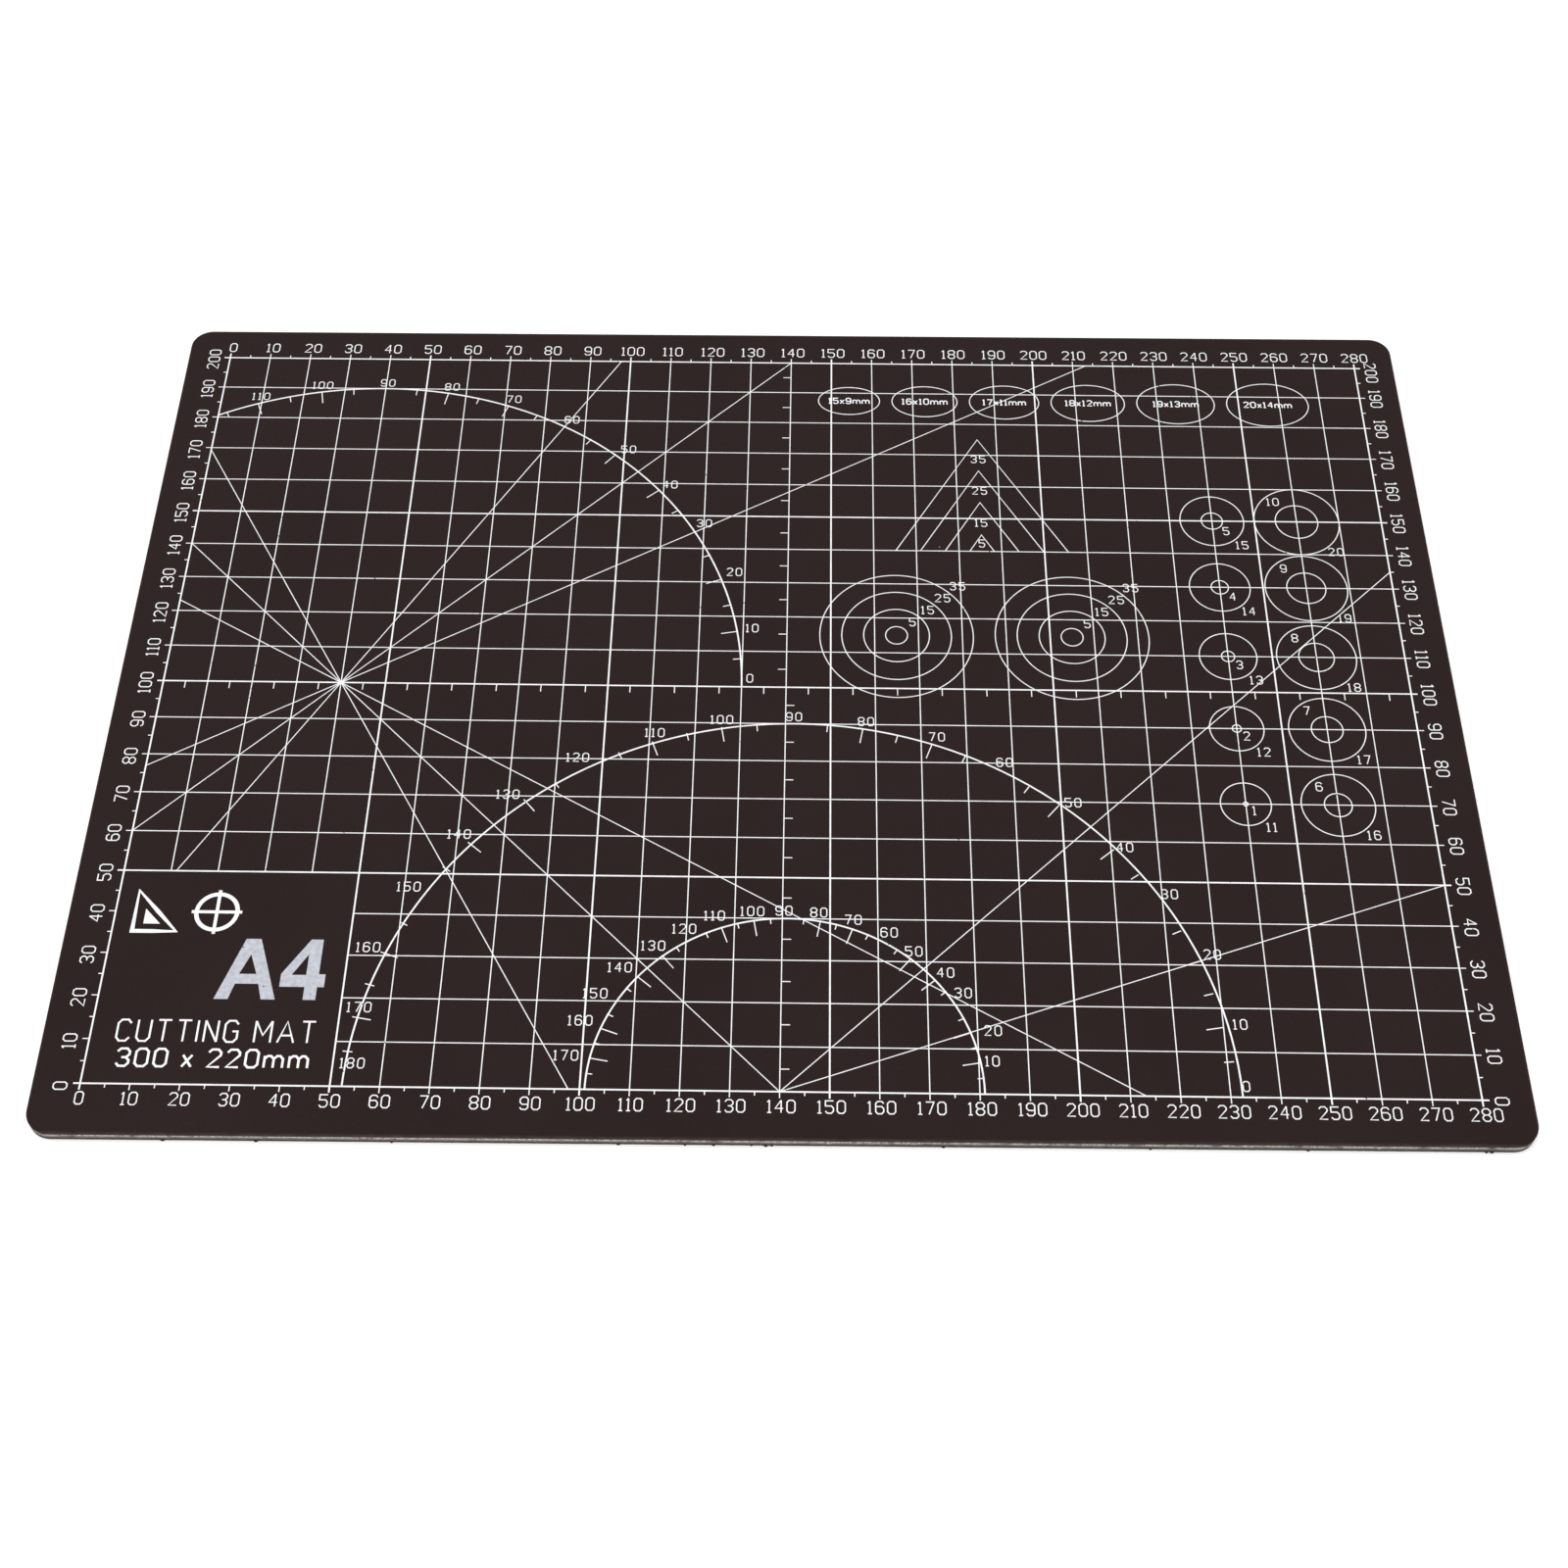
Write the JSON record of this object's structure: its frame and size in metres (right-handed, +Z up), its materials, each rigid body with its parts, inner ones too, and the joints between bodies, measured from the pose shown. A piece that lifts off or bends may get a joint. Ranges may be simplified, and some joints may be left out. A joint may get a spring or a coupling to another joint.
{
  "type": "self-healing cutting mat",
  "caption": "Flat rectangular self-healing cutting mat of three bonded plies, with rounded corners and a white printed grid, rulers, protractors and shape templates.",
  "frame": {"origin": "middle of the underside, on the surface the mat lies on", "axes": "+X along the 300 mm side, the way the numbers read; +Y along the 220 mm side, away from the user; +Z up, out of the printed face"},
  "size_m": [0.3, 0.22, 0.003],
  "materials": {
    "brown_vinyl": "very dark brown PVC skin with a fine matte grain",
    "core_vinyl": "plain light core, seen only at the cut edge",
    "white_ink": "white screen-printing ink, matte"
  },
  "bodies": {
    "root": {"bottom_skin": "brown_vinyl", "core_ply": "core_vinyl", "top_skin": "brown_vinyl", "frame_and_ticks": "white_ink", "fine_grid": "white_ink", "angle_lines": "white_ink", "back_protractor": "white_ink", "wide_protractor": "white_ink", "small_protractor": "white_ink", "double_circles": "white_ink", "target_circles": "white_ink", "nested_triangles": "white_ink", "ovals": "white_ink", "title_panel": "white_ink", "size_mark": "white_ink", "front_numbers": "white_ink", "back_numbers": "white_ink", "left_numbers": "white_ink", "right_numbers": "white_ink"}
  },
  "joints": []
}
